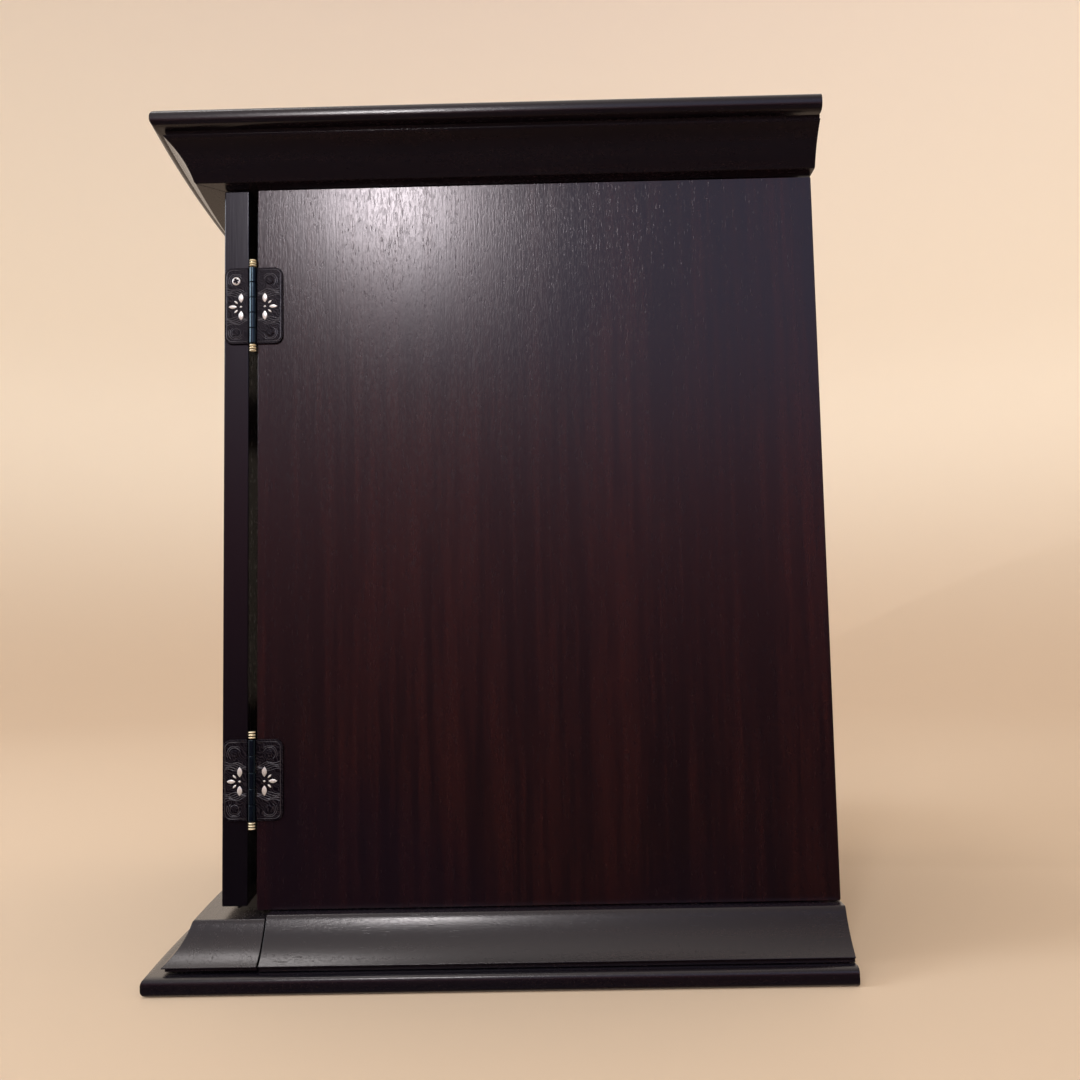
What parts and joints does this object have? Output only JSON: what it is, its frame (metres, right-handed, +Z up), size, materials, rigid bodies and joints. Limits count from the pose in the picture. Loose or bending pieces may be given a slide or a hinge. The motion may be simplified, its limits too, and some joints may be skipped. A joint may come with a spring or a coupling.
{
  "type": "household altar cabinet",
  "caption": "Small dark lacquered altar cabinet with bowed hinged doors, a moulded base holding a pull-out tray, and a moulded cornice.",
  "frame": {"origin": "middle of the bounding box, on the underside of the base board", "axes": "+Z up, doors and tray face -Y, +X to the right of someone facing the doors"},
  "size_m": [0.384, 0.353, 0.44],
  "materials": {
    "dark_lacquer": "satin clear lacquer over dark straight-grained wood with open pores",
    "black_lacquer": "satin lacquer over nearly black wood",
    "inner_lacquer": "matt lacquer over dark wood",
    "black_plate": "black plated metal, semi-gloss",
    "brass": "polished",
    "bright_steel": "bright cut faces of the hinge ornament and the screw heads"
  },
  "bodies": {
    "case": {"base_board": "black_lacquer", "base_moulding_left": "black_lacquer", "base_moulding_right": "black_lacquer", "base_back_rail": "black_lacquer", "tray_runner_left": "inner_lacquer", "tray_runner_right": "inner_lacquer", "side_panel_left": "dark_lacquer", "side_panel_right": "dark_lacquer", "case_floor": "inner_lacquer", "case_ceiling": "inner_lacquer", "back_panel": "dark_lacquer", "cornice_front": "black_lacquer", "cornice_left": "black_lacquer", "cornice_right": "black_lacquer", "cornice_back_rail": "black_lacquer", "top_board": "black_lacquer", "hinge_lower_left_case_leaf": "black_plate", "hinge_lower_left_pin": "brass", "hinge_upper_left_case_leaf": "black_plate", "hinge_upper_left_pin": "brass", "hinge_lower_right_case_leaf": "black_plate", "hinge_lower_right_pin": "brass", "hinge_upper_right_case_leaf": "black_plate", "hinge_upper_right_pin": "brass"},
    "left_door": {"door_left": "dark_lacquer", "door_knob_left": "brass", "hinge_lower_left_door_leaf": "black_plate", "hinge_upper_left_door_leaf": "black_plate"},
    "right_door": {"door_right": "dark_lacquer", "door_knob_right": "brass", "hinge_lower_right_door_leaf": "black_plate", "hinge_upper_right_door_leaf": "black_plate"},
    "tray": {"tray_front": "black_lacquer", "tray_board": "inner_lacquer"}
  },
  "joints": [
    {"name": "left_door_hinge", "type": "hinge", "parent": "case", "child": "left_door", "pos_m": [-0.1636, -0.12011, 0.22135], "axis": [0, 0, -1], "range_deg": [0, 170]},
    {"name": "right_door_hinge", "type": "hinge", "parent": "case", "child": "right_door", "pos_m": [0.1636, -0.12011, 0.22135], "axis": [0, 0, 1], "range_deg": [0, 170]},
    {"name": "tray_slide", "type": "slide", "parent": "case", "child": "tray", "axis": [0, -1, 0], "range_m": [0, 0.15]}
  ]
}
